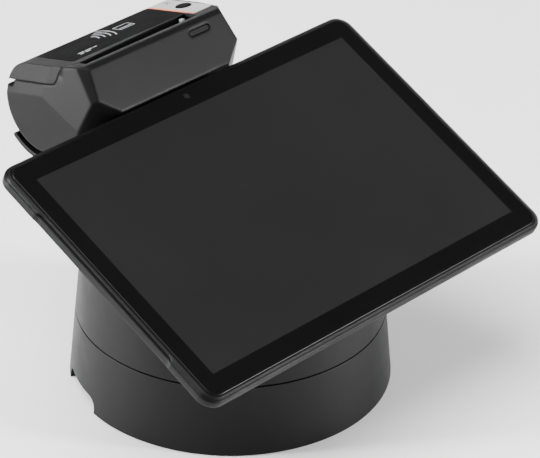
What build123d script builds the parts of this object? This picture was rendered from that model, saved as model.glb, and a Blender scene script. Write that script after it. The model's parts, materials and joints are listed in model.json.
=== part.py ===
from build123d import *
from math import cos, pi, radians, sin, sqrt
import os

# Card payment terminal: a tablet-style till with a built-in receipt printer, lifted on and off
# a swivelling stand.  Millimetres.  Z is up, the user stands on the -Y side, X is to the right.
# The origin is the middle of the stand's underside, on the counter.

os.makedirs("parts", exist_ok=True)

# ---- stand: a cone in two halves with a turning seam ----
base_radius = 85.3
cone_slope = 0.0943
seam_height = 39.5
seam_gap = 0.8
shell_wall = 3.0
deck_thickness = 2.6
floor_plate_thickness = 2.5
foot_height = 2.2
foot_stand_off = 0.6
foot_radius = 7.0
foot_ring_radius = 66.0
foot_count = 5
floor_screw_count = 4
floor_screw_ring = 44.0
ballast_radius = 70.0
ballast_thickness = 9.0
spigot_radius = 20.0
spigot_bore = 14.0
spigot_flange = 28.0
swivel_fit = 0.08
bearing_outer = 36.0
column_floor_thickness = 3.0
collar_thickness = 3.0
stop_pin_radius = 2.5
stop_circle = 58.0
stop_slot_half = 3.2
bush_height = 5.4
board_stand_off = 2.5
post_radius = 2.2
screw_hole = 1.3
screw_head_hole = 3.1
screw_head = 2.9
screw_shank = 1.25
arch_width = 37.0
arch_height = 8.5
arch_corner = 6.0
arch_azimuth = 156.0
roof_level = 112.5
tray_thickness = 3.0

# ---- tablet ----
tilt = 24.65
screen_centre = (0, -35.2, 118.3)
tablet_width = 246.2
tablet_height = 163.6
tablet_corner = 9.0
glass_width = 238.6
glass_height = 158.2
glass_corner = 6.2
glass_thickness = 1.2
frame_depth = 3.4
frame_inset = 0.45
frame_lip = 1.65
frame_slope_width = 3.0
frame_top = -0.25
parting_gap = 0.3
parting_width = 0.75
rim_round = 0.6
side_depth = 6.0
rear_bevel = 8.0
back_corner = 5.0
tablet_depth = 12.0
tablet_wall = 2.0
rim_wall = 2.3
rim_fit = 0.2
cavity_bevel = 6.2
panel_width = 224.0
panel_height = 141.2
panel_thickness = 2.6
grip_half_length = 54.0
grip_inset = 0.9
ledge_inset = 2.2
ledge_low = -2.2
camera_height = 75.0
camera_radius = 3.9
key_lengths = {"power_button": 12.0, "volume_key": 26.0}
key_places = {"power_button": 64.0, "volume_key": 36.0}
key_gap = 0.3
key_height = 2.0
key_w = -4.5
key_proud = 0.7
key_inside = 1.2
key_flange = 0.9
dock_gap = 0.4
peg_radius = 4.0
peg_height = 3.6
peg_spacing = 100.0
peg_row = -6.0
peg_clearance = 0.35
pin_count = 6
pin_pitch = 4.0
pin_radius = 0.9
pin_clearance = 0.3
pin_row = -2.0

# ---- printer ----
seat_gap = 0.8
front_top_y = 56.0
front_top_z = 175.0
front_slope = 55.0
top_slope = 15.0
printer_half = 56.0
top_half = 52.5
chamfer_drop = 16.8
roll_house_radius = 24.4
roll_house_z = 143.5
printer_wall = 2.4
rear_round = 15.0
front_edge_chamfer = 1.8
lid_right = 36.2
lid_depth = 9.2
lid_gap = 0.35
lid_front_left = 10.4
lid_front_right = 15.0
flap_top = 15.8
flap_low = 21.0
flap_round = 4.0
flap_x = -52.0
slot_left = -44.0
slot_right = 34.6
slot_front = 5.0
hinge_radius = 2.6
hinge_pin_radius = 1.1
hinge_pin_fit = 0.06
hinge_s = 55.5
hinge_depth = 10.1
knuckle_length = 9.0
paper_left = -40.4
paper_right = 34.0
roll_radius = 19.4
core_radius = 6.5
roll_y = 84.4
roll_drop = 1.8
platen_radius = 4.0
platen_s = 18.6
platen_depth = 7.6
platen_shaft = 1.5
shaft_fit = 0.06
gear_module = 0.6
gear_width = 2.0
gear_left = -43.0
platen_teeth = 16
idler_teeth = 32
motor_teeth = 10
motor_y = 55.5
motor_z = 143.0
motor_radius = 5.4
motor_length = 16.0
button_radius = 4.2
button_clearance = 0.35
plate_left = 38.0
plate_right = 51.2
plate_s0 = 9.5
plate_s1 = 50.0
plate_thickness = 0.8
plate_drop = 7.0
button_x = 45.4
button_s = 26.6
button_travel = 1.5
button_proud = 0.35

rear_y = roll_y + roll_house_radius
roll_z = roll_house_z - roll_drop
cos_tilt = cos(radians(tilt))
sin_tilt = sin(radians(tilt))
screen = Plane(origin=screen_centre, x_dir=(1, 0, 0), z_dir=(0, -sin_tilt, cos_tilt))
top = Plane(
    origin=(0, front_top_y, front_top_z),
    x_dir=(1, 0, 0),
    z_dir=(0, sin(radians(top_slope)), cos(radians(top_slope))),
)
front = Plane(
    origin=(0, front_top_y, front_top_z),
    x_dir=(1, 0, 0),
    z_dir=(0, -sin(radians(front_slope)), cos(radians(front_slope))),
)
low = (Align.CENTER, Align.CENTER, Align.MIN)


def save(shape, node):
    export_step(shape, f"parts/{node}.step")


def cone_radius(z):
    return base_radius - cone_slope * z


def tube(outer, inner, z0, z1):
    ring = Pos(0, 0, z0) * Cylinder(outer, z1 - z0, align=low)
    if inner > 0:
        ring -= Pos(0, 0, z0 - 1) * Cylinder(inner, z1 - z0 + 2, align=low)
    return ring


def cone(inset, z0, z1):
    return Pos(0, 0, z0) * Cone(cone_radius(z0) - inset, cone_radius(z1) - inset, z1 - z0, align=low)


def slab(width, height, corner, z0, z1, x=0, y=0):
    outline = Pos(x, y, z0) * RectangleRounded(width, height, corner)
    return extrude(outline, amount=z1 - z0)


def tapered(width, height, corner, z0, z1, inset, top_corner):
    low_face = Pos(0, 0, z0) * RectangleRounded(width, height, corner)
    high_face = Pos(0, 0, z1) * RectangleRounded(width - 2 * inset, height - 2 * inset, top_corner)
    return loft([low_face, high_face], ruled=True)


def block(x0, x1, y0, y1, z0, z1):
    return Pos((x0 + x1) / 2, (y0 + y1) / 2, (z0 + z1) / 2) * Box(x1 - x0, y1 - y0, z1 - z0)


def side_solid(points, x0, x1):
    face = Plane.YZ * make_face(Polyline(*points, close=True))
    return Pos(x0, 0, 0) * extrude(face, amount=x1 - x0)


def across(y, z, radius, x0, x1):
    return Pos((x0 + x1) / 2, y, z) * Rot(0, 90, 0) * Cylinder(radius, x1 - x0)


def tablet_point(v, w):
    y = screen_centre[1] + v * cos_tilt - w * sin_tilt
    z = screen_centre[2] + v * sin_tilt + w * cos_tilt
    return (y, z)


def top_point(s, depth):
    y = front_top_y + s * cos(radians(top_slope)) - depth * sin(radians(top_slope))
    z = front_top_z - s * sin(radians(top_slope)) - depth * cos(radians(top_slope))
    return (y, z)


def screws(places, head_radius, head_height, shank_radius, shank_length):
    group = []
    for x, y, z in places:
        head = Cylinder(head_radius, head_height, align=low)
        drive = Pos(0, 0, head_height * 0.4) * Cylinder(head_radius * 0.45, head_height, align=low)
        shank = Pos(0, 0, -shank_length) * Cylinder(shank_radius, shank_length, align=low)
        group.append(Pos(x, y, z) * (head - drive + shank))
    return group


def gear(teeth, bore):
    pitch = gear_module * teeth / 2
    tip = pitch - 0.15
    root = tip - 1.1
    points = []
    for i in range(teeth):
        for share, radius in ((-0.30, root), (-0.14, tip), (0.14, tip), (0.30, root)):
            angle = 2 * pi * (i + share) / teeth
            points.append((radius * cos(angle), radius * sin(angle)))
    wheel = extrude(make_face(Polyline(*points, close=True)), amount=gear_width)
    return wheel - Pos(0, 0, -1) * Cylinder(bore, gear_width + 2, align=low)


# ============================ lower stand ============================
shell_bottom = foot_stand_off
seam_low = seam_height - seam_gap / 2
seam_high = seam_height + seam_gap / 2
deck_low = seam_low - deck_thickness
floor_top = shell_bottom + floor_plate_thickness

arch_profile = Plane.XZ * RectangleRounded(arch_width, 2 * arch_height, arch_corner)
arch_cutter = Rot(0, 0, arch_azimuth - 90) * Pos(0, base_radius + 6, 0) * extrude(arch_profile, amount=26)

base_shell = cone(0, shell_bottom, seam_low) - cone(shell_wall, floor_top, deck_low)
base_shell -= tube(cone_radius(0) - 7, 0, 0, floor_top)
base_shell -= tube(spigot_flange + 0.3, 0, deck_low - 1, seam_low + 1)
base_shell -= arch_cutter
base_shell -= Pos(0, -stop_circle, deck_low - 1) * Cylinder(stop_pin_radius, 10, align=low)
save(base_shell, "base_shell")

floor_plate = tube(cone_radius(0) - 7.2, 0, shell_bottom + 0.1, floor_top)
foot_places = [(0, 0)]
for i in range(foot_count):
    angle = radians(arch_azimuth + 360 / foot_count * (i + 0.5))
    foot_places.append((foot_ring_radius * cos(angle), foot_ring_radius * sin(angle)))
for x, y in foot_places:
    floor_plate -= Pos(x, y, 0) * Cylinder(foot_radius, foot_height, align=low)
floor_screw_places = []
for i in range(floor_screw_count):
    angle = radians(arch_azimuth + 60 + 80 * i)
    floor_screw_places.append((floor_screw_ring * cos(angle), floor_screw_ring * sin(angle)))
for x, y in floor_screw_places:
    floor_plate -= Pos(x, y, 0) * Cylinder(1.6, 10, align=low)
    floor_plate -= Pos(x, y, 0) * Cylinder(3.2, 1.9, align=low)
vent_slots = []
for i in range(-3, 4):
    vent_slots.append(Pos(i * 6, -22, 0) * slab(2.2, 16, 1.0, 0, 12))
floor_plate -= vent_slots
floor_plate -= arch_cutter
turn_to_arch = Rot(0, 0, arch_azimuth)
board_low = floor_top + board_stand_off
for dx in (43, 67):
    for dy in (-24, 24):
        post = Pos(dx, dy, floor_top - 0.5) * Cylinder(post_radius, board_stand_off + 0.5, align=low)
        floor_plate += turn_to_arch * post
save(floor_plate, "base_floor_plate")

feet = []
for x, y in foot_places:
    pad = Pos(x, y, 0) * Cylinder(foot_radius, foot_height, align=low)
    feet.append(pad.fillet(0.5, pad.edges().group_by(Axis.Z)[0]))
save(Compound(children=feet), "rubber_feet")

ballast_low = floor_top
ballast_high = ballast_low + ballast_thickness
ballast = tube(ballast_radius, spigot_bore, ballast_low, ballast_high)
socket_room = Rot(0, 0, arch_azimuth) * block(34, 90, -32, 32, 0, 40)
ballast -= socket_room
for x, y in floor_screw_places:
    ballast -= Pos(x, y, ballast_low - 1) * Cylinder(screw_hole, ballast_thickness + 2, align=low)
save(ballast, "ballast_plate")

floor_screws = []
for x, y in floor_screw_places:
    head = Pos(x, y, 0.8) * Cylinder(3.0, 1.1, align=low)
    drive = Pos(x, y, 0.2) * Cylinder(1.3, 1.2, align=low)
    shank = Pos(x, y, 1.9) * Cylinder(1.2, 8.0, align=low)
    floor_screws.append(head - drive + shank)
save(Compound(children=floor_screws), "floor_screws")

spigot_top = seam_high + column_floor_thickness + collar_thickness + 4.2
spigot = tube(spigot_flange, spigot_bore, deck_low + 0.2, seam_low)
spigot += tube(spigot_radius, spigot_bore, ballast_high, spigot_top)
spigot += tube(spigot_radius + 5, spigot_bore, ballast_high, ballast_high + 4)
cable_window = block(0, spigot_radius + 8, -9, 9, ballast_high + 6, ballast_high + 18)
spigot -= turn_to_arch * cable_window
save(spigot, "swivel_spigot")

bearing = tube(bearing_outer, spigot_radius + 1, seam_low, seam_high)
save(bearing, "bearing_washer")

stop_pin = Pos(0, -stop_circle, deck_low - 3) * Cylinder(
    stop_pin_radius, seam_high + 2.6 - deck_low + 3, align=low
)
save(stop_pin, "stop_pin")

collar = tube(spigot_radius + 7, spigot_radius, spigot_top - 4, spigot_top - 1)
save(collar, "retaining_collar")

io_board = turn_to_arch * block(40, 70, -27, 27, board_low, board_low + 1.6)
save(io_board, "connector_board")

socket_z = board_low + 1.6
power_socket = turn_to_arch * (
    block(56, 70, -17, -7, socket_z, socket_z + 9)
    - Pos(63, -12, socket_z + 4.6) * Rot(0, 90, 0) * Cylinder(3.1, 16)
    + Pos(61, -12, socket_z + 4.6) * Rot(0, 90, 0) * Cylinder(0.9, 10)
)
save(power_socket, "power_socket")
data_socket = turn_to_arch * (
    block(55, 71, -2, 14, socket_z, socket_z + 11.5) - block(60, 72, 0.1, 11.9, socket_z + 2, socket_z + 9)
)
save(data_socket, "data_socket")

# ============================ turning column ============================
roof_w = -tablet_depth - dock_gap


def roof_points(drop):
    w = roof_w - drop
    level = roof_level - drop
    bend = (level - screen_centre[2] - w * cos_tilt) / sin_tilt
    return [tablet_point(-90, w), tablet_point(bend, w), (110, level)]


def under_roof(drop):
    below = [(110, 0), (-130, 0), (-130, tablet_point(-90, -20)[1])]
    return side_solid(roof_points(drop) + below, -100, 100)


column_body = cone(0, seam_high, 140)
column_shell = (column_body & under_roof(tray_thickness)) - (
    cone(shell_wall, seam_high - 1, 140) & under_roof(tray_thickness - 1)
)
save(column_shell, "column_shell")

floor_low = seam_high
floor_high = floor_low + column_floor_thickness
bush_bore = spigot_radius + swivel_fit
column_floor = tube(cone_radius(seam_high) - shell_wall - 1.0, bush_bore, floor_low, floor_high)
column_floor = column_floor & cone(shell_wall + 0.05, floor_low, floor_high)
column_floor += tube(spigot_radius + 6, bush_bore, floor_low, floor_low + bush_height)
slot_points = []
for radius, angles in (
    (stop_circle - stop_slot_half, range(-184, 5, 4)),
    (stop_circle + stop_slot_half, range(4, -185, -4)),
):
    for a in angles:
        slot_points.append((radius * cos(radians(a)), radius * sin(radians(a))))
slot_face = make_face(Polyline(*slot_points, close=True))
column_floor -= Pos(0, 0, floor_low - 1) * extrude(slot_face, amount=column_floor_thickness + 2)
save(column_floor, "column_floor")

tray_slice = (column_body & under_roof(0)) - under_roof(tray_thickness)
tray_skirt = (cone(shell_wall + 0.25, 70, 140) & under_roof(tray_thickness)) - (
    cone(shell_wall + 2.4, 60, 141) & under_roof(tray_thickness)
)
tray_skirt = tray_skirt - under_roof(tray_thickness + 5)
dock_tray = tray_slice + tray_skirt
pin_w = roof_w - tray_thickness
pin_holes = []
for i in range(pin_count):
    x = (i - (pin_count - 1) / 2) * pin_pitch
    hole = screen.location * Pos(x, pin_row, pin_w - 1) * Cylinder(pin_radius + pin_clearance, 6, align=low)
    pin_holes.append(hole)
dock_tray -= pin_holes
peg_places = [(-peg_spacing / 2, peg_row), (peg_spacing / 2, peg_row)]
for x, v in peg_places:
    peg = Pos(x, v, roof_w - 1) * Cone(peg_radius, peg_radius - 0.6, peg_height + 1, align=low)
    dock_tray += screen.location * peg
tray_screw_places = [(-42, -24), (42, -24), (-44, 5), (44, 5)]
for x, v in tray_screw_places:
    dock_tray -= screen.location * Pos(x, v, roof_w - 1.8) * Cylinder(screw_head_hole, 4, align=low)
    dock_tray -= screen.location * Pos(x, v, roof_w - 9) * Cylinder(screw_hole, 9, align=low)
cradle_screw_places = [(-26, 52), (26, 52)]
for x, y in cradle_screw_places:
    dock_tray -= Pos(x, y, roof_level - tray_thickness - 1) * Cylinder(screw_hole, 6, align=low)
cable_way = screen.location * slab(26, 8, 3.5, roof_w - 8, roof_w + 2, 0, -14)
dock_tray -= cable_way
save(dock_tray, "dock_tray")

column_screws = []
tray_screw_seats = [(x, v, roof_w - 1.8) for x, v in tray_screw_places]
for piece in screws(tray_screw_seats, screw_head, 1.5, screw_shank, 5.0):
    column_screws.append(screen.location * piece)

pads = []
for x, v in ((-28, -36), (28, -36), (-58, 5), (58, 5)):
    pads.append(screen.location * slab(14, 7, 3.0, roof_w, -tablet_depth, x, v))
save(Compound(children=pads), "dock_pads")

holder_low = pin_w - 7.5
holder = slab(32, 10, 2.0, holder_low, pin_w, 0, pin_row)
for i in range(pin_count):
    x = (i - (pin_count - 1) / 2) * pin_pitch
    holder -= Pos(x, pin_row, holder_low + 1.5) * Cylinder(pin_radius + pin_clearance + 0.3, 10, align=low)
save(screen.location * holder, "contact_holder")

pin_stack = []
pin_top = -tablet_depth - 0.02
for i in range(pin_count):
    x = (i - (pin_count - 1) / 2) * pin_pitch
    stem = Pos(x, pin_row, holder_low + 3.6) * Cylinder(pin_radius, pin_top - holder_low - 3.6, align=low)
    stem = stem.fillet(0.5, stem.edges().group_by(Axis.Z)[-1])
    pin_stack.append(screen.location * stem)
save(Compound(children=pin_stack), "contact_pins")

dock_board = screen.location * slab(60, 24, 2.0, holder_low - 1.6, holder_low, 0, pin_row + 2)
save(dock_board, "dock_board")

# rear cradle under the roll housing
lip_inner = 28.0
lip_wall = 2.6
lip_half = 56.0
lip_outer = lip_inner + lip_wall
flat_high = roll_house_z - lip_inner
flat_low = roll_house_z - lip_outer
lip_angle = -50
arc_pts_in = []
arc_pts_out = []
steps = 10
for i in range(steps + 1):
    a = radians(-90 + (lip_angle + 90) * i / steps)
    arc_pts_in.append((roll_y + lip_inner * cos(a), roll_house_z + lip_inner * sin(a)))
    arc_pts_out.append((roll_y + lip_outer * cos(a), roll_house_z + lip_outer * sin(a)))
tip = ((arc_pts_in[-1][0] + arc_pts_out[-1][0]) / 2, (arc_pts_in[-1][1] + arc_pts_out[-1][1]) / 2)
lip_face = make_face(
    [
        Line((46, flat_high), arc_pts_in[0]),
        ThreePointArc(arc_pts_in[0], arc_pts_in[5], arc_pts_in[-1]),
        ThreePointArc(
            arc_pts_in[-1],
            (tip[0] + 1.1 * cos(radians(lip_angle + 90)), tip[1] + 1.1 * sin(radians(lip_angle + 90))),
            arc_pts_out[-1],
        ),
        ThreePointArc(arc_pts_out[-1], arc_pts_out[5], arc_pts_out[0]),
        Line(arc_pts_out[0], (46, flat_low)),
        Line((46, flat_low), (46, flat_high)),
    ]
)
lip = extrude(Plane.YZ * lip_face, amount=lip_half, both=True)
neck = block(-34, 34, 48, 68, roof_level, flat_low + 0.5)
cradle = lip + neck
cradle_head_z = flat_high - 1.4
for x, y in cradle_screw_places:
    cradle -= Pos(x, y, cradle_head_z) * Cylinder(screw_head_hole, 5, align=low)
    cradle -= Pos(x, y, roof_level - 1) * Cylinder(screw_hole, 6, align=low)
save(cradle, "rear_cradle")

cradle_screw_seats = [(x, y, cradle_head_z) for x, y in cradle_screw_places]
column_screws += screws(cradle_screw_seats, screw_head, 1.2, screw_shank, 3.6)
save(Compound(children=column_screws), "column_screws")

house_bottom = roll_house_z - roll_house_radius
cradle_pad = block(-24, 24, 66, 82, flat_high, house_bottom)
save(cradle_pad, "cradle_pad")

# ============================ tablet ============================
glass = slab(glass_width, glass_height, glass_corner, -glass_thickness, 0)
glass = glass.fillet(0.5, glass.edges().group_by(Axis.Z)[-1])
save(screen.location * glass, "front_glass")

ledge_w = -glass_thickness - 0.05
flange_width = tablet_width - 2 * frame_inset
flange_height = tablet_height - 2 * frame_inset
flange_corner = tablet_corner - frame_inset
cavity_width = tablet_width - 2 * rim_wall
cavity_height = tablet_height - 2 * rim_wall
cavity_corner = tablet_corner - rim_wall
slope_low = -frame_lip + 0.15
frame_ring = slab(flange_width, flange_height, flange_corner, -frame_lip, slope_low)
frame_ring += tapered(
    flange_width,
    flange_height,
    flange_corner,
    slope_low,
    frame_top,
    frame_slope_width,
    glass_corner,
)
frame_ring += slab(
    cavity_width - 2 * rim_fit,
    cavity_height - 2 * rim_fit,
    cavity_corner - rim_fit,
    -frame_depth,
    -frame_lip,
)
frame_ring -= slab(glass_width + 0.5, glass_height + 0.5, glass_corner + 0.2, ledge_w, 1)
frame_ring -= slab(panel_width + 1.0, panel_height + 1.0, 3.0, -frame_depth - 1, 1)
grips = []
for inset, length, w0, w1 in (
    (grip_inset, grip_half_length, -tablet_depth - 1, 1),
    (ledge_inset, grip_half_length - 1.3, ledge_low, 1),
):
    edge_x = inset - tablet_width / 2 - 10
    grips.append(slab(20, 2 * length, 5.0, w0, w1, edge_x, 0))
frame_ring -= grips
frame_ring -= Pos(0, camera_height, -frame_depth - 1) * Cylinder(camera_radius + 0.3, 8, align=low)
save(screen.location * frame_ring, "front_frame")

panel_low = ledge_w - panel_thickness
panel = slab(panel_width, panel_height, 2.0, panel_low, ledge_w)
save(screen.location * panel, "display_panel")

camera = Pos(0, camera_height, -5.6) * Cylinder(camera_radius, 5.6 + ledge_w, align=low)
camera -= Pos(0, camera_height, ledge_w - 0.8) * Cone(1.6, 2.6, 1.0, align=low)
save(screen.location * camera, "front_camera")

rim_high = -frame_lip - parting_gap
rim_low = rim_high - rim_round
rear = slab(tablet_width, tablet_height, tablet_corner, -side_depth, rim_low)
rear += tapered(tablet_width, tablet_height, tablet_corner, rim_low, rim_high, frame_inset, flange_corner)
rear += slab(
    flange_width - 2 * parting_width,
    flange_height - 2 * parting_width,
    flange_corner - parting_width,
    rim_high,
    -frame_lip,
)
rear += tapered(
    tablet_width - 2 * rear_bevel,
    tablet_height - 2 * rear_bevel,
    back_corner,
    -tablet_depth,
    -side_depth,
    -rear_bevel,
    tablet_corner,
)
cavity_bend = -side_depth + 0.6
rear -= slab(cavity_width, cavity_height, cavity_corner, cavity_bend, 1)
rear -= tapered(
    cavity_width - 2 * cavity_bevel,
    cavity_height - 2 * cavity_bevel,
    back_corner,
    -tablet_depth + tablet_wall,
    cavity_bend,
    -cavity_bevel,
    cavity_corner,
)
rear -= grips
for x, v in peg_places:
    rear -= Pos(x, v, -tablet_depth - 1) * Cylinder(peg_radius + peg_clearance, 6, align=low)
pad_window = slab(30, 7.0, 1.5, -tablet_depth - 1, -tablet_depth + 5, 0, pin_row)
rear -= pad_window
right_edge = tablet_width / 2
for name in key_lengths:
    slot = slab(
        14,
        key_lengths[name] + 2 * key_gap,
        1.6,
        key_w - key_height / 2 - key_gap,
        key_w + key_height / 2 + key_gap,
        right_edge,
        key_places[name],
    )
    rear -= slot
rear_screw_places = [(-109, -68), (109, -68), (-109, 68), (109, 68)]
for x, v in rear_screw_places:
    rear += Pos(x, v, -tablet_depth + tablet_wall - 0.2) * Cylinder(3.6, 5.2, align=low)
    rear -= Pos(x, v, -tablet_depth - 1) * Cylinder(2.6, 2.2, align=low)
    rear -= Pos(x, v, -tablet_depth) * Cylinder(1.1, 7, align=low)
vents = []
for i in range(-8, 9):
    vents.append(slab(1.6, 12, 0.7, -tablet_depth - 1, -tablet_depth + 4, i * 4.5, 56))
rear -= vents
save(screen.location * rear, "rear_shell")

rear_screws = []
for x, v in rear_screw_places:
    head = Pos(x, v, -tablet_depth + 0.1) * Cylinder(2.4, 1.1, align=low)
    head -= Pos(x, v, -tablet_depth) * Cylinder(1.0, 0.6, align=low)
    shank = Pos(x, v, -tablet_depth + 1.2) * Cylinder(1.0, 5.0, align=low)
    rear_screws.append(screen.location * (head + shank))
save(Compound(children=rear_screws), "rear_screws")

for name in key_lengths:
    length = key_lengths[name]
    v = key_places[name]
    key_low = key_w - key_height / 2
    key_high = key_w + key_height / 2
    key_width = key_proud + rim_wall + key_inside
    cap = slab(key_width, length, 1.0, key_low, key_high, right_edge + key_proud - key_width / 2, v)
    flange_x = right_edge - rim_wall - key_inside + key_flange / 2
    cap += slab(key_flange, length + 2.4, 0.4, key_low, key_high, flange_x, v)
    save(screen.location * cap, name)

board_w = -tablet_depth + tablet_wall + 0.9
main_board = slab(120, 62, 2.0, board_w, board_w + 1.2, -40, 38)
main_board -= Pos(-peg_spacing / 2, peg_row, board_w - 1) * Cylinder(5, 4, align=low)
save(screen.location * main_board, "main_board")
cans = []
for x, v, a, b in ((-70, 44, 26, 20), (-36, 46, 22, 22), (-8, 34, 18, 14)):
    cans.append(screen.location * slab(a, b, 1.0, board_w + 1.2, board_w + 3.0, x, v))
save(Compound(children=cans), "shield_cans")
battery = slab(110, 46, 3.0, board_w, board_w + 4.2, -2, -42)
save(screen.location * battery, "battery_pack")
speakers = []
for sign in (-1, 1):
    cup = slab(30, 16, 3.0, board_w, board_w + 4.0, sign * 84, -48)
    speakers.append(screen.location * cup)
save(Compound(children=speakers), "speakers")

contact_plate = slab(29, 6.0, 1.2, -tablet_depth, -tablet_depth + 1.6, 0, pin_row)
save(screen.location * contact_plate, "contact_pads")

# ============================ printer module ============================
seat = tablet_point(tablet_height / 2 + seat_gap, -0.6)
seat_low = tablet_point(tablet_height / 2 + seat_gap, -tablet_depth - 0.1)
front_run = (front_top_z - seat[1]) / sin(radians(front_slope))
front_foot = (front_top_y - front_run * cos(radians(front_slope)), seat[1])
rear_top_z = front_top_z - (rear_y - front_top_y) * sin(radians(top_slope)) / cos(radians(top_slope))
profile = make_face(
    [
        Line((front_top_y, front_top_z), front_foot),
        Line(front_foot, seat),
        Line(seat, seat_low),
        Line(seat_low, (48, 128)),
        Line((48, 128), (60, house_bottom)),
        Line((60, house_bottom), (roll_y, house_bottom)),
        ThreePointArc(
            (roll_y, house_bottom),
            (
                roll_y + roll_house_radius * cos(radians(-45)),
                roll_house_z + roll_house_radius * sin(radians(-45)),
            ),
            (roll_y + roll_house_radius, roll_house_z),
        ),
        Line((roll_y + roll_house_radius, roll_house_z), (rear_y, rear_top_z)),
        Line((rear_y, rear_top_z), (front_top_y, front_top_z)),
    ]
)
rear_top = profile.vertices().sort_by(Axis.X)[-2:].sort_by(Axis.Y)[-1]
profile = fillet(rear_top, rear_round)

along_end = Vector(0, cos(radians(top_slope)), -sin(radians(top_slope)))
end_step = Vector(printer_half - top_half, 0, -chamfer_drop)
end_normal = (along_end.cross(end_step) * -1).normalized()
corner_planes = [
    ((top_half, front_top_y, front_top_z), tuple(end_normal)),
    ((53.85, 60.5, 155.1), (0.982, -0.067, 0.177)),
    ((49.92, 52.66, 166.49), (0.762, -0.445, 0.470)),
    ((49.7, 45.7, 160.3), (0.5455, -0.8131, -0.2032)),
]


def printer_solid(inset):
    side = profile
    if inset != 0:
        side = offset(profile, -inset, kind=Kind.INTERSECTION)
    body = extrude(Plane.YZ * side, amount=printer_half - inset, both=True)
    for sign in (1, -1):
        for point, normal in corner_planes:
            n = Vector(*normal).normalized()
            p = Vector(*point) - n * inset
            cutter = Plane(origin=(sign * p.X, p.Y, p.Z), z_dir=(sign * n.X, n.Y, n.Z))
            body -= cutter.location * Pos(0, 0, 100) * Box(400, 400, 200)
    return body


def lid_region(grow):
    points = [
        (lid_right + grow, lid_front_right - grow),
        (lid_right + grow, 75),
        (flap_x, 75),
        (flap_x, flap_top - grow),
        (slot_left - grow, lid_front_left - grow),
    ]
    outline = make_face(Polyline(*points, close=True))
    region = Pos(0, 0, -lid_depth - grow) * extrude(outline, amount=lid_depth + grow + 8)
    lean = (flap_low - flap_top) / lid_depth
    flap_points = [(75, 8), (flap_top - 8 * lean, 8), (flap_low, -lid_depth), (75, -lid_depth)]
    flap_face = make_face(Polyline(*flap_points, close=True))
    flap_corner = flap_face.vertices().sort_by(Axis.Y)[:2].sort_by(Axis.X)[0]
    flap_face = fillet(flap_corner, flap_round)
    if grow > 0:
        flap_face = offset(flap_face, grow, kind=Kind.INTERSECTION)
    region += Pos(-75, 0, 0) * extrude(Plane.YZ * flap_face, amount=75 + flap_x)
    return top.location * region


outer = printer_solid(0)
front_edges = outer.edges().filter_by(Axis.X).group_by(Axis.Z)[-1]
outer = outer.chamfer(front_edge_chamfer, None, front_edges)
shell = outer - printer_solid(printer_wall)

hinge_y, hinge_z = top_point(hinge_s, hinge_depth)

button_hole = Pos(button_x, button_s, -6) * Cylinder(button_radius + button_clearance, 10, align=low)
plate_skin = outer - printer_solid(plate_thickness)
plate_skin -= top.location * button_hole
plate_region = block(plate_left, plate_right, plate_s0, plate_s1 + 6, -plate_drop, 3)
plate_corners = plate_region.edges().filter_by(Axis.Z).group_by(Axis.X)[-1].sort_by(Axis.Y)[0]
plate_region = top.location * plate_region.fillet(3.0, [plate_corners])
trim_left = lid_right + lid_gap
trim_region = top.location * block(trim_left, plate_left, plate_s0, plate_s1 + 6, -plate_drop, 3)

slot_cut = top.location * block(slot_left, slot_right, slot_front, lid_front_right + 1, -12, 4)
housing = shell - lid_region(lid_gap) - slot_cut
housing -= plate_skin & plate_region
housing -= plate_skin & trim_region
skirt_s = slot_front - 1.8
skirt_top = -printer_wall + 0.3
housing += top.location * block(-38.5, slot_right + 1.0, skirt_s, slot_front, -11, skirt_top)
housing += top.location * block(slot_left - 1.5, -38.0, skirt_s, slot_front, -6.5, skirt_top)
lid_knuckles = [-36.0, 18.0]
house_knuckles = [-46.0, 28.0, -9.0]
sweep = across(hinge_y, hinge_z, hinge_radius + lid_gap, -58, lid_right + lid_gap)
housing -= sweep
for x in house_knuckles:
    arm = across(hinge_y, hinge_z, hinge_radius, x, x + knuckle_length)
    arm += block(x, x + knuckle_length, hinge_y - 1.6, rear_y - 0.1, hinge_z - 6, hinge_z)
    housing += arm
housing -= across(hinge_y, hinge_z, hinge_pin_radius, -47, lid_right + 1.6)
housing -= top.location * button_hole
front_slot = front.location * slab(14.4, 3.4, 1.5, -6, 3, 28.6, -6)
housing -= front_slot
paper_guides = []
guide_wall = 1.6
for x0 in (paper_left - 0.5 - guide_wall, paper_right + 0.5):
    guide = (
        across(roll_y, roll_house_z, roll_house_radius - printer_wall + 0.3, x0, x0 + guide_wall)
        & block(-70, 70, 66, 110, 110, roll_house_z - 3)
    )
    paper_guides.append(guide)
housing += paper_guides
save(housing, "printer_housing")

pin = across(hinge_y, hinge_z, hinge_pin_radius, -47, lid_right + 1.6)
save(pin, "hinge_pin")

lid = shell & lid_region(0)
panel_recess = 0.7
panel_s1 = 45.4
contact_face = top.location * slab(
    lid_right - slot_left - 0.6,
    panel_s1 - lid_front_right - 0.8,
    1.5,
    -panel_recess,
    3,
    (lid_right + slot_left) / 2,
    (panel_s1 + lid_front_right) / 2,
)
lid -= contact_face
for x in lid_knuckles:
    arm = across(hinge_y, hinge_z, hinge_radius, x, x + knuckle_length)
    arm += block(x, x + knuckle_length, hinge_y - 2.2, rear_y - 0.1, hinge_z, hinge_z + 4)
    lid += arm
for x in house_knuckles:
    relief = across(hinge_y, hinge_z, hinge_radius + lid_gap, x - lid_gap, x + knuckle_length + lid_gap)
    lid -= relief
lid -= across(hinge_y, hinge_z, hinge_pin_radius + hinge_pin_fit, -60, lid_right + 6)
platen_y, platen_z = top_point(platen_s, platen_depth)
ear_thickness = 1.8
left_ear = gear_left - 0.4 - ear_thickness
right_ear = paper_right + 0.3
right_ear_thickness = 1.5
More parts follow.
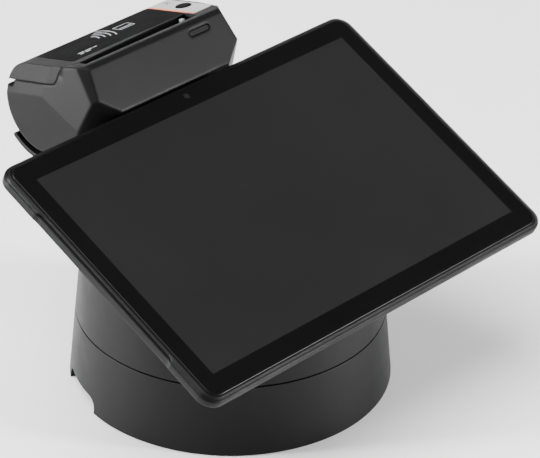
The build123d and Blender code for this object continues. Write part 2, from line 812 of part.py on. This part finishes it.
for x0, x1 in ((left_ear, left_ear + ear_thickness), (right_ear, right_ear + right_ear_thickness)):
    ear = block(x0, x1, platen_s - 3.0, platen_s + 3.4, -platen_depth - 2.6, -1.5)
    lid += top.location * ear
    lid -= across(platen_y, platen_z, platen_shaft + shaft_fit, x0 - 0.5, x1 + 0.2)
rib_set = []
for x in (-30, -10, 10):
    rib_set.append(top.location * block(x - 0.8, x + 0.8, lid_front_right + 9.5, 40, -3.4, -2.2))
lid += rib_set
save(lid, "paper_cover")

panel_piece = slab(
    lid_right - slot_left - 1.0,
    panel_s1 - lid_front_right - 1.2,
    1.3,
    -panel_recess,
    0,
    (lid_right + slot_left) / 2,
    (panel_s1 + lid_front_right) / 2,
)
save(top.location * panel_piece, "contactless_panel")

antenna_outer = slab(54, 18, 2.0, -3.0, -printer_wall, -4, 33)
antenna_inner = slab(46, 11, 1.5, -4.0, 0, -4, 33)
antenna = (antenna_outer - antenna_inner) - top.location.inverse() * Compound(children=rib_set)
save(top.location * antenna, "contactless_antenna")

# fixed right-hand strip: silver plate, orange edge, release button
save(plate_skin & plate_region, "silver_plate")
save(plate_skin & trim_region, "orange_trim")

cap = Pos(button_x, button_s, -4.5) * Cylinder(button_radius, 4.5 + button_proud, align=low)
cap = cap.fillet(0.25, cap.edges().group_by(Axis.Z)[-1])
cap += Pos(button_x, button_s, -5.5) * Cylinder(button_radius + 1.1, 1.2, align=low)
save(top.location * cap, "release_button")

latch_top = -5.5 - button_travel - 0.3
switch_block = block(button_x - 4, button_x + 4, button_s - 4, button_s + 4, -13, latch_top)
save(top.location * switch_block, "release_latch")

# paper feed
paper = across(roll_y, roll_z, roll_radius, paper_left, paper_right) - across(
    roll_y, roll_z, core_radius, paper_left - 1, paper_right + 1
)
save(paper, "paper_roll")
core = across(roll_y, roll_z, core_radius, paper_left, paper_right) - across(
    roll_y, roll_z, core_radius - 1.5, paper_left - 1, paper_right + 1
)
save(core, "paper_core")

roller = across(platen_y, platen_z, platen_radius, paper_left, paper_right) - across(
    platen_y, platen_z, platen_shaft, paper_left - 1, paper_right + 1
)
save(roller, "platen_roller")
shaft = across(platen_y, platen_z, platen_shaft, left_ear, right_ear + right_ear_thickness)
save(shaft, "platen_shaft")

platen_gear = Pos(gear_left, platen_y, platen_z) * Rot(0, 90, 0) * gear(platen_teeth, platen_shaft)
save(platen_gear, "platen_gear")
motor_to_platen = sqrt((platen_y - motor_y) ** 2 + (platen_z - motor_z) ** 2)
reach_motor = gear_module * (motor_teeth + idler_teeth) / 2 + 0.1
reach_platen = gear_module * (platen_teeth + idler_teeth) / 2 + 0.1
along = (reach_motor**2 - reach_platen**2 + motor_to_platen**2) / (2 * motor_to_platen)
aside = sqrt(reach_motor**2 - along**2)
unit_y = (platen_y - motor_y) / motor_to_platen
unit_z = (platen_z - motor_z) / motor_to_platen
idler_y = motor_y + unit_y * along - unit_z * aside
idler_z = motor_z + unit_z * along + unit_y * aside
idler = Pos(gear_left, idler_y, idler_z) * Rot(0, 90, 0) * gear(idler_teeth, 1.5 + shaft_fit)
save(idler, "idler_gear")
motor_x = gear_left + gear_width + 0.6
pinion = Pos(gear_left, motor_y, motor_z) * Rot(0, 90, 0) * gear(motor_teeth, 0.5)
pinion += across(motor_y, motor_z, 1.0, gear_left - 0.4, motor_x + 1.0)
save(pinion, "motor_gear")

gear_plate = side_solid(
    [
        (motor_y - 4, motor_z - 7),
        (motor_y + 5, motor_z - 7),
        (motor_y + 5, motor_z + 5),
        (idler_y + 3, idler_z + 3),
        (idler_y - 3, idler_z + 3),
    ],
    motor_x,
    motor_x + 1.0,
)
gear_plate += across(idler_y, idler_z, 1.5, gear_left - 0.4, motor_x + 0.5)
gear_plate -= across(motor_y, motor_z, 1.0 + shaft_fit, motor_x - 1, motor_x + 2)
save(gear_plate, "gear_plate")
motor = across(motor_y, motor_z, motor_radius, motor_x + 1.0, motor_x + 1.0 + motor_length)
save(motor, "feed_motor")

head_s1 = platen_s - platen_radius - 0.15
head = block(paper_left, paper_right, head_s1 - 3.0, head_s1, -platen_depth - 6.0, -platen_depth + 3.2)
save(top.location * head, "print_head")
head_rail = block(paper_left + 2.0, paper_right, slot_front, head_s1 - 3.0, -11, -9.0)
save(top.location * head_rail, "head_bracket")

teeth_points = [(slot_left + 0.4, -5.0), (slot_right - 0.4, -5.0)]
tooth_count = 52
tooth_pitch = (slot_right - slot_left - 0.8) / tooth_count
for i in range(tooth_count, 0, -1):
    x = slot_left + 0.4 + tooth_pitch * i
    teeth_points.append((x, -1.2))
    teeth_points.append((x - tooth_pitch / 2, -0.4))
teeth_points.append((slot_left + 0.4, -1.2))
tear_face = Plane.XZ * make_face(Polyline(*teeth_points, close=True))
tear = Pos(0, slot_front + 0.7, 0) * extrude(tear_face, amount=0.7)
save(top.location * tear, "tear_bar")

light = slab(13.6, 2.6, 1.2, -1.6, -0.3, 28.6, -6)
light += slab(14.3, 3.3, 1.4, -printer_wall, -1.6, 28.6, -6)
save(front.location * light, "front_light")
led = block(29.0, 31.0, slot_front + 5.8, slot_front + 8.2, -4.4, -1.2)
save(top.location * led, "status_light")

bracket = side_solid(
    [
        tablet_point(52, -tablet_depth),
        tablet_point(81.5, -tablet_depth),
        (seat_low[0] - 0.05, seat_low[1] - 0.1),
        (47.95, 128),
        (46.7, 128),
        tablet_point(80.5, -tablet_depth - 1.3),
        tablet_point(52, -tablet_depth - 1.3),
    ],
    -30,
    30,
)
save(bracket, "printer_bracket")
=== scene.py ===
import bmesh
import bpy
import json
from math import cos, pi, radians, sin
from mathutils import Matrix, Vector


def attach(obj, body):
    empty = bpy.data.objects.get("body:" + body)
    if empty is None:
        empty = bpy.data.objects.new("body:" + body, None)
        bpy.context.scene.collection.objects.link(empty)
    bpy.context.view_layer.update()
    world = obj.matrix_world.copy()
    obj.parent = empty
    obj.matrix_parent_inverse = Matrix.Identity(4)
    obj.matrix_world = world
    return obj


# Looks for the tablet-style payment terminal.  Metres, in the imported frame: +Z up, user on -Y.

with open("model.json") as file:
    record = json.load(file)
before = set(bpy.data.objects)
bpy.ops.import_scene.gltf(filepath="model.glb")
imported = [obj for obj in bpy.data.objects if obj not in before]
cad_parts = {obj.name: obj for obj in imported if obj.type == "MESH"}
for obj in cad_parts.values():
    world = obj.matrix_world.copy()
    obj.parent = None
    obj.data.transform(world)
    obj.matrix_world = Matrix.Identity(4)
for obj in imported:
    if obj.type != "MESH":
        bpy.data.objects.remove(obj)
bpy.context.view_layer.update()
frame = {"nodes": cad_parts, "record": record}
nodes = frame["nodes"]
MM = 0.001

# ---- places on the object ----
TILT = radians(24.65)
SCREEN_CENTRE = Vector((0.0, -35.2, 118.3)) * MM
SCREEN_UP = Vector((0.0, cos(TILT), sin(TILT)))
ACTIVE_HALF_WIDTH = 109.5 * MM
ACTIVE_HALF_HEIGHT = 67.8 * MM
CAMERA_HEIGHT = 75.0 * MM
CAMERA_WINDOW = 1.7 * MM
TOP_SLOPE = radians(15.0)
TOP_ORIGIN = Vector((0.0, 56.0, 175.0)) * MM
TOP_X = Vector((1.0, 0.0, 0.0))
TOP_S = Vector((0.0, cos(TOP_SLOPE), -sin(TOP_SLOPE)))
TOP_N = Vector((0.0, sin(TOP_SLOPE), cos(TOP_SLOPE)))


def on_top(x, s, height=0.0):
    return TOP_ORIGIN + TOP_X * (x * MM) + TOP_S * (s * MM) + TOP_N * (height * MM)


# ============================ materials ============================
class Shader:
    """A node tree with short calls for the few nodes the materials share."""

    def __init__(self, name):
        self.material = bpy.data.materials.new(name)
        self.material.use_nodes = True
        self.tree = self.material.node_tree
        self.surface = self.tree.nodes["Principled BSDF"]
        self.place = self.tree.nodes.new("ShaderNodeTexCoord").outputs["Object"]

    def node(self, kind, **inputs):
        made = self.tree.nodes.new(kind)
        for key, value in inputs.items():
            socket = made.inputs[key.replace("_", " ")]
            if hasattr(value, "is_linked"):
                self.tree.links.new(value, socket)
            else:
                socket.default_value = value
        return made

    def link(self, output, target):
        self.tree.links.new(output, target)

    def noise(self, scale, detail=4.0, roughness=0.55, place=None):
        made = self.node("ShaderNodeTexNoise", Scale=scale, Detail=detail, Roughness=roughness)
        self.link(place or self.place, made.inputs["Vector"])
        return made.outputs["Fac"]

    def cells(self, scale, place=None):
        made = self.node("ShaderNodeTexVoronoi", Scale=scale)
        self.link(place or self.place, made.inputs["Vector"])
        return made.outputs["Distance"]

    def spread(self, value, low, high, out_low, out_high):
        made = self.tree.nodes.new("ShaderNodeMapRange")
        self.link(value, made.inputs["Value"])
        numbers = {"From Min": low, "From Max": high, "To Min": out_low, "To Max": out_high}
        for key, number in numbers.items():
            made.inputs[key].default_value = number
        return made.outputs["Result"]

    def math(self, kind, a, b=None):
        made = self.tree.nodes.new("ShaderNodeMath")
        made.operation = kind
        for i, value in enumerate((a, b)):
            if value is None:
                continue
            if hasattr(value, "is_linked"):
                self.link(value, made.inputs[i])
            else:
                made.inputs[i].default_value = value
        return made.outputs[0]

    def mix(self, share, a, b):
        made = self.tree.nodes.new("ShaderNodeMix")
        made.data_type = "RGBA"
        self.link(share, made.inputs["Factor"])
        for socket, value in ((made.inputs["A"], a), (made.inputs["B"], b)):
            if hasattr(value, "is_linked"):
                self.link(value, socket)
            else:
                socket.default_value = (*value, 1.0)
        return made.outputs["Result"]

    def bump(self, height, strength, distance, after=None):
        made = self.node("ShaderNodeBump", Strength=strength, Distance=distance)
        self.link(height, made.inputs["Height"])
        if after is not None:
            self.link(after, made.inputs["Normal"])
        return made.outputs["Normal"]

    def soft_edges(self, radius):
        made = self.tree.nodes.new("ShaderNodeBevel")
        made.samples = 6
        made.inputs["Radius"].default_value = radius
        return made.outputs["Normal"]

    def stretched(self, x, y, z):
        made = self.tree.nodes.new("ShaderNodeMapping")
        self.link(self.place, made.inputs["Vector"])
        made.inputs["Scale"].default_value = (x, y, z)
        return made.outputs["Vector"]

    def set(self, **numbers):
        for key, value in numbers.items():
            self.surface.inputs[key.replace("_", " ")].default_value = value

    def colour(self, value):
        if hasattr(value, "is_linked"):
            self.link(value, self.surface.inputs["Base Color"])
        else:
            self.surface.inputs["Base Color"].default_value = (*value, 1.0)

    def finish(self, rough=None, normal=None):
        if rough is not None:
            self.link(rough, self.surface.inputs["Roughness"])
        if normal is not None:
            self.link(normal, self.surface.inputs["Normal"])
        return self.material


def moulded_plastic(name, colour, rough, grain=2600.0, depth=0.35, edge=0.0004, ior=1.45):
    """Injection-moulded plastic: spark-eroded grain, faint flow marks and handling wear."""
    s = Shader(name)
    fine = s.noise(grain, 3.0, 0.6)
    flow = s.noise(18.0, 3.0, 0.5)
    smudge = s.noise(42.0, 6.0, 0.65)
    dark = tuple(c * 0.82 for c in colour)
    light = tuple(min(1.0, c * 1.22) for c in colour)
    s.colour(s.mix(s.spread(flow, 0.35, 0.65, 0.0, 1.0), dark, light))
    wear = s.spread(smudge, 0.4, 0.75, rough - 0.04, rough + 0.06)
    s.set(IOR=ior)
    return s.finish(wear, s.bump(fine, depth, 0.00004, s.soft_edges(edge)))


def gloss_plastic(name, colour, rough=0.14, edge=0.0003, ior=1.45, coat=0.25):
    """Polished plastic: finger smears in the gloss and a trace of dust."""
    s = Shader(name)
    smear = s.noise(60.0, 5.0, 0.7)
    dust = s.noise(900.0, 2.0, 0.5)
    darker = tuple(c * 0.75 for c in colour)
    s.colour(s.mix(s.spread(smear, 0.3, 0.7, 0.0, 1.0), darker, colour))
    s.set(IOR=ior, Coat_Weight=coat, Coat_Roughness=0.08)
    polish = s.spread(smear, 0.35, 0.8, rough, rough + 0.12)
    return s.finish(polish, s.bump(dust, 0.06, 0.00002, s.soft_edges(edge)))


def cover_glass(name):
    """Glass over a dark printed border, with the switched-off display as a slightly greyer field
    and the front camera's small round window above it."""
    s = Shader(name)
    split = s.tree.nodes.new("ShaderNodeSeparateXYZ")
    s.link(s.place, split.inputs[0])
    along = s.math("MULTIPLY", s.math("SUBTRACT", split.outputs["Y"], SCREEN_CENTRE.y), SCREEN_UP.y)
    rise = s.math("MULTIPLY", s.math("SUBTRACT", split.outputs["Z"], SCREEN_CENTRE.z), SCREEN_UP.z)
    up_screen = s.math("ADD", along, rise)
    v = s.math("ABSOLUTE", up_screen)
    x = s.math("ABSOLUTE", split.outputs["X"])
    in_width = s.math("LESS_THAN", x, ACTIVE_HALF_WIDTH)
    in_height = s.math("LESS_THAN", v, ACTIVE_HALF_HEIGHT)
    field = s.math("MULTIPLY", in_width, in_height)
    smear = s.noise(9.0, 5.0, 0.62)
    specks = s.noise(700.0, 2.0, 0.5)
    display = s.mix(s.spread(smear, 0.3, 0.7, 0.0, 1.0), (0.0082, 0.0082, 0.0084), (0.0092, 0.0092, 0.0094))
    border = s.mix(s.spread(specks, 0.4, 0.7, 0.0, 1.0), (0.0011, 0.0011, 0.0012), (0.0014, 0.0014, 0.0015))
    lens_rise = s.math("SUBTRACT", up_screen, CAMERA_HEIGHT)
    squares = s.math("ADD", s.math("POWER", x, 2.0), s.math("POWER", lens_rise, 2.0))
    lens_far = s.math("POWER", squares, 0.5)
    window = s.math("LESS_THAN", lens_far, CAMERA_WINDOW)
    s.colour(s.mix(window, s.mix(field, border, display), (0.0075, 0.0075, 0.0085)))
    s.set(IOR=1.24)
    rough = s.spread(smear, 0.3, 0.75, 0.30, 0.36)
    return s.finish(rough, s.bump(specks, 0.03, 0.00001, s.soft_edges(0.0003)))


def metal(name, colour, rough, brushed=(1.0, 1.0, 1.0), depth=0.15):
    """Bare metal with drawn or brushed streaks and faint stains."""
    s = Shader(name)
    streak = s.noise(900.0, 4.0, 0.6, s.stretched(*brushed))
    stain = s.noise(70.0, 4.0, 0.6)
    darker = tuple(c * 0.7 for c in colour)
    s.colour(s.mix(s.spread(stain, 0.35, 0.75, 0.0, 0.6), colour, darker))
    s.set(Metallic=1.0)
    polish = s.spread(streak, 0.3, 0.7, rough, rough + 0.15)
    return s.finish(polish, s.bump(streak, depth, 0.00003, s.soft_edges(0.0002)))


def painted_silver(name):
    """Silver paint: fine metal flakes under a thin clear coat."""
    s = Shader(name)
    flake = s.cells(5200.0)
    tone = s.noise(55.0, 3.0, 0.5)
    s.colour(s.mix(s.spread(tone, 0.3, 0.7, 0.0, 1.0), (0.42, 0.42, 0.43), (0.48, 0.48, 0.49)))
    s.set(Metallic=0.35, Coat_Weight=0.3, Coat_Roughness=0.2)
    shine = s.spread(flake, 0.0, 0.6, 0.30, 0.42)
    return s.finish(shine, s.bump(flake, 0.05, 0.00002, s.soft_edges(0.0002)))


def rubber(name, colour, rough=0.75):
    """Matt rubber with fine pores, dusted paler in patches."""
    s = Shader(name)
    pores = s.noise(1500.0, 5.0, 0.65)
    dust = s.noise(120.0, 4.0, 0.6)
    s.colour(s.mix(s.spread(dust, 0.45, 0.8, 0.0, 0.7), colour, tuple(c * 1.9 + 0.01 for c in colour)))
    s.set(IOR=1.45)
    return s.finish(s.spread(pores, 0.3, 0.7, rough - 0.08, rough + 0.1), s.bump(pores, 0.4, 0.00008))


def circuit_board(name):
    """Green solder mask over a mesh of tracks."""
    s = Shader(name)
    mesh = s.cells(420.0)
    tracks = s.math("LESS_THAN", mesh, 0.12)
    s.colour(s.mix(tracks, (0.012, 0.085, 0.04), (0.03, 0.2, 0.09)))
    s.set(Coat_Weight=0.4, Coat_Roughness=0.2)
    return s.finish(s.spread(s.noise(300.0), 0.3, 0.7, 0.35, 0.5), s.bump(tracks, 0.2, 0.00004))


def paper_fibre(name, colour):
    """Paper or card: fibres, and the fine rings of a wound roll's ends."""
    s = Shader(name)
    turns = s.noise(1400.0, 3.0, 0.6, s.stretched(0.05, 1.0, 1.0))
    fibre = s.noise(2200.0, 4.0, 0.7)
    s.colour(s.mix(s.spread(turns, 0.35, 0.65, 0.0, 1.0), tuple(c * 0.88 for c in colour), colour))
    return s.finish(s.spread(fibre, 0.3, 0.7, 0.8, 0.95), s.bump(fibre, 0.3, 0.00004))


def light_window(name, colour, strength):
    """White print or a milky light guide, slightly cloudy."""
    s = Shader(name)
    cloud = s.noise(400.0, 3.0, 0.5)
    s.colour(s.mix(s.spread(cloud, 0.3, 0.7, 0.0, 1.0), tuple(c * 0.9 for c in colour), colour))
    s.set(Emission_Color=(*colour, 1.0), Emission_Strength=strength, Coat_Weight=0.4, Coat_Roughness=0.1)
    return s.finish(s.spread(cloud, 0.3, 0.7, 0.2, 0.3), s.soft_edges(0.0002))


STAND_BLACK = (0.0017, 0.0017, 0.0018)
HOUSING_BLACK = (0.0030, 0.0030, 0.0032)
looks = {
    "stand_plastic": moulded_plastic("stand_plastic", STAND_BLACK, 0.44, 3200.0, 0.08, 0.0004, 1.24),
    "column_plastic": moulded_plastic("column_plastic", STAND_BLACK, 0.44, 3200.0, 0.08, 0.0004, 1.24),
    "housing_plastic": moulded_plastic("housing_plastic", HOUSING_BLACK, 0.44, 3600.0, 0.15, 0.0022, 1.20),
    "cover_plastic": moulded_plastic("cover_plastic", HOUSING_BLACK, 0.44, 3600.0, 0.15, 0.0010, 1.20),
    "gloss_black": gloss_plastic("gloss_black", (0.0010, 0.0010, 0.0011), 0.50, 0.0003, 1.10, 0.0),
    "screen_glass": cover_glass("screen_glass"),
    "screen_panel": gloss_plastic("screen_panel", (0.012, 0.012, 0.013), 0.3),
    "lens_black": gloss_plastic("lens_black", (0.004, 0.004, 0.006), 0.05),
    "silver_paint": painted_silver("silver_paint"),
    "orange_plastic": gloss_plastic("orange_plastic", (0.80, 0.17, 0.045), 0.3, 0.0001),
    "white_light": light_window("white_light", (0.34, 0.35, 0.36), 0.0),
    "smoke_light": gloss_plastic("smoke_light", (0.0012, 0.0012, 0.0014), 0.45, 0.0003, 1.2, 0.0),
    "steel": metal("steel", (0.50, 0.50, 0.51), 0.28, (0.04, 1.0, 1.0)),
    "zinc": metal("zinc", (0.20, 0.20, 0.21), 0.55, (1.0, 1.0, 1.0), 0.5),
    "brass_contact": metal("brass_contact", (0.80, 0.55, 0.20), 0.18),
    "rubber": rubber("rubber", (0.009, 0.009, 0.009)),
    "platen_rubber": rubber("platen_rubber", (0.035, 0.035, 0.038), 0.6),
    "nylon": moulded_plastic("nylon", (0.72, 0.71, 0.66), 0.45, 1800.0, 0.2, 0.0002),
    "board_green": circuit_board("board_green"),
    "paper": paper_fibre("paper", (0.86, 0.85, 0.82)),
    "card": paper_fibre("card", (0.42, 0.32, 0.21)),
    "battery_wrap": gloss_plastic("battery_wrap", (0.03, 0.03, 0.034), 0.4),
}
for row in frame["record"]["subparts"]:
    mesh = nodes[row["node"]].data
    mesh.materials.clear()
    mesh.materials.append(looks[row["material_slot"]])


# ============================ added pieces ============================
def add_piece(name, mesh, body, slot):
    piece = bpy.data.objects.new(name, mesh)
    bpy.context.scene.collection.objects.link(piece)
    mesh.materials.append(looks[slot])
    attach(piece, body)
    return piece


def ribbon_mesh(name, strips, place, thickness):
    """Closed thin solids from left and right edge lists, laid on a plane by place(x, s, height)."""
    bm = bmesh.new()
    for left, right in strips:
        rows = []
        for (xa, sa), (xb, sb) in zip(left, right):
            rows.append(
                [
                    bm.verts.new(place(xa, sa, 0.0)),
                    bm.verts.new(place(xb, sb, 0.0)),
                    bm.verts.new(place(xb, sb, thickness)),
                    bm.verts.new(place(xa, sa, thickness)),
                ]
            )
        for a, b in zip(rows, rows[1:]):
            for i in range(4):
                j = (i + 1) % 4
                bm.faces.new((a[i], a[j], b[j], b[i]))
        bm.faces.new(tuple(reversed(rows[0])))
        bm.faces.new(tuple(rows[-1]))
    bmesh.ops.recalc_face_normals(bm, faces=bm.faces)
    mesh = bpy.data.meshes.new(name)
    bm.to_mesh(mesh)
    bm.free()
    return mesh


def arc_strip(cx, cs, radius, width, start, end, steps=14):
    left, right = [], []
    for i in range(steps + 1):
        a = radians(start + (end - start) * i / steps)
        left.append((cx + (radius - width / 2) * cos(a), cs + (radius - width / 2) * sin(a)))
        right.append((cx + (radius + width / 2) * cos(a), cs + (radius + width / 2) * sin(a)))
    return left, right


def bar(x0, s0, x1, s1, width):
    along = Vector((x1 - x0, s1 - s0)).normalized()
    across = Vector((-along.y, along.x)) * (width / 2)
    return (
        [(x0 - across.x, s0 - across.y), (x1 - across.x, s1 - across.y)],
        [(x0 + across.x, s0 + across.y), (x1 + across.x, s1 + across.y)],
    )


PRINT_THICKNESS = 0.05
PRINT_LIFT = 0.005


def on_panel(x, s, height):
    return on_top(x, s, height + PRINT_LIFT)


def print_mark(name, strips, body, slot):
    return add_piece(name, ribbon_mesh(name, strips, on_panel, PRINT_THICKNESS), body, slot)


# contactless waves and a card outline beside them, on the paper cover
WAVE_CENTRE = (-15.0, 36.0)
WAVE_FIRST = 6.0
WAVE_STEP = 3.1
WAVE_WIDTH = 0.75
WAVE_SPAN = 34
waves = []
for i in range(4):
    waves.append(arc_strip(*WAVE_CENTRE, WAVE_FIRST + WAVE_STEP * i, WAVE_WIDTH, -WAVE_SPAN, WAVE_SPAN))
print_mark("wave_mark", waves, "cover", "white_light")
CARD_LEFT = 4.0
CARD_RIGHT = 14.0
CARD_LOW = 31.0
CARD_HIGH = 37.5
CARD_LINE = 0.5
card_marks = [
    bar(CARD_LEFT, CARD_LOW, CARD_RIGHT, CARD_LOW, CARD_LINE),
    bar(CARD_LEFT, CARD_HIGH, CARD_RIGHT, CARD_HIGH, CARD_LINE),
    bar(CARD_LEFT, CARD_LOW, CARD_LEFT, CARD_HIGH, CARD_LINE),
    bar(CARD_RIGHT, CARD_LOW, CARD_RIGHT, CARD_HIGH, CARD_LINE),
    bar(CARD_LEFT + 1.0, CARD_LOW + 2.0, CARD_RIGHT - 1.0, CARD_LOW + 2.0, 0.9),
]
print_mark("card_mark", card_marks, "cover", "white_light")

# plain bars where a caption would be: each row's place and the ends of its bars
CAPTION_WIDTH = 1.0
caption_rows = {
    23.4: ((-33, -29), (-28, -23.5), (-22.5, -20)),
    21.4: ((-33, -30.5), (-29.5, -26)),
}
caption_bars = []
for row_s, pieces in caption_rows.items():
    for a, b in pieces:
        caption_bars.append(bar(a, row_s, b, row_s, CAPTION_WIDTH))
print_mark("caption_bars", caption_bars, "cover", "white_light")

# opening arrow on the silver plate
ARROW_TIP = (46.0, 40.0)
ARROW_REACH = 1.4
ARROW_LINE = 0.5
tip_x, tip_s = ARROW_TIP
arrow = [
    bar(tip_x - ARROW_REACH, tip_s - ARROW_REACH, tip_x, tip_s, ARROW_LINE),
    bar(tip_x, tip_s, tip_x + ARROW_REACH, tip_s - ARROW_REACH, ARROW_LINE),
    bar(tip_x - ARROW_REACH, tip_s + ARROW_REACH, tip_x + ARROW_REACH, tip_s + ARROW_REACH, ARROW_LINE),
]
print_mark("open_mark", arrow, "terminal", "gloss_black")


# ============================ stage ============================
floor_mesh = bpy.data.meshes.new("floor")
bm = bmesh.new()
FLOOR_HALF = 4.0
FLOOR_BACK = 3.0
FLOOR_CURVE = 1.2
FLOOR_SIDE = 6.0
CURVE_STEPS = 12
WALL_HEIGHT = 4.0
FLOOR_TURN = radians(-46.0)
profile = [(-FLOOR_HALF, 0.0), (FLOOR_BACK, 0.0)]
for i in range(1, CURVE_STEPS + 1):
    a = pi / 2 * i / CURVE_STEPS
    profile.append((FLOOR_BACK + FLOOR_CURVE * sin(a), FLOOR_CURVE * (1 - cos(a))))
profile.append((FLOOR_BACK + FLOOR_CURVE, WALL_HEIGHT))
turn = Matrix.Rotation(FLOOR_TURN, 3, "Z")
rows = []
for along, up in profile:
    rows.append([bm.verts.new(turn @ Vector((side, along, up))) for side in (-FLOOR_SIDE, FLOOR_SIDE)])
for a, b in zip(rows, rows[1:]):
    bm.faces.new((a[0], a[1], b[1], b[0]))
bm.to_mesh(floor_mesh)
bm.free()
for face in floor_mesh.polygons:
    face.use_smooth = True
floor = bpy.data.objects.new("floor", floor_mesh)
bpy.context.scene.collection.objects.link(floor)
pale = Shader("pale_floor")
patches = pale.spread(pale.noise(3.0), 0.3, 0.7, 0.0, 1.0)
pale.colour(pale.mix(patches, (0.90, 0.90, 0.90), (0.92, 0.92, 0.92)))
floor_mesh.materials.append(pale.finish(pale.spread(pale.noise(60.0), 0.3, 0.7, 0.75, 0.85)))

world = bpy.data.worlds.new("studio")
bpy.context.scene.world = world
world.use_nodes = True
sky = world.node_tree.nodes["Background"].inputs
sky["Color"].default_value = (0.97, 0.98, 1.0, 1.0)
sky["Strength"].default_value = 0.16


def area_light(name, place, target, size_x, size_y, power):
    data = bpy.data.lights.new(name, "AREA")
    data.shape = "RECTANGLE"
    data.size = size_x
    data.size_y = size_y
    data.energy = power
    lamp = bpy.data.objects.new(name, data)
    bpy.context.scene.collection.objects.link(lamp)
    lamp.location = place
    lamp.rotation_mode = "QUATERNION"
    lamp.rotation_quaternion = (Vector(place) - Vector(target)).to_track_quat("Z", "Y")
    return lamp


AIM = (0.0, 0.0, 0.09)
# low narrow boxes left and right of the camera's line, and a broad one overhead
area_light("left_box", (-1.75, 1.32, 0.50), AIM, 0.34, 0.95, 150)
area_light("right_box", (1.20, -1.85, 0.50), AIM, 0.30, 0.95, 140)
area_light("top_box", (-0.8, 0.3, 2.7), AIM, 2.4, 2.4, 190)

# ============================ camera ============================
camera_data = bpy.data.cameras.new("camera")
camera = bpy.data.objects.new("camera", camera_data)
bpy.context.scene.collection.objects.link(camera)
camera_data.lens = 206.5
camera_data.sensor_width = 36.0
AZIMUTH = radians(-46.13)
ELEVATION = radians(30.57)
ROLL = radians(0.79)
camera.location = (-0.98197, -0.97178, 0.90037)
back = Vector((sin(AZIMUTH) * cos(ELEVATION), -cos(AZIMUTH) * cos(ELEVATION), sin(ELEVATION)))
right = Vector((cos(AZIMUTH), sin(AZIMUTH), 0.0))
up = back.cross(right)
right_rolled = right * cos(ROLL) + up * sin(ROLL)
up_rolled = up * cos(ROLL) - right * sin(ROLL)
camera.rotation_mode = "QUATERNION"
camera.rotation_quaternion = Matrix((right_rolled, up_rolled, back)).transposed().to_quaternion()
bpy.context.scene.camera = camera
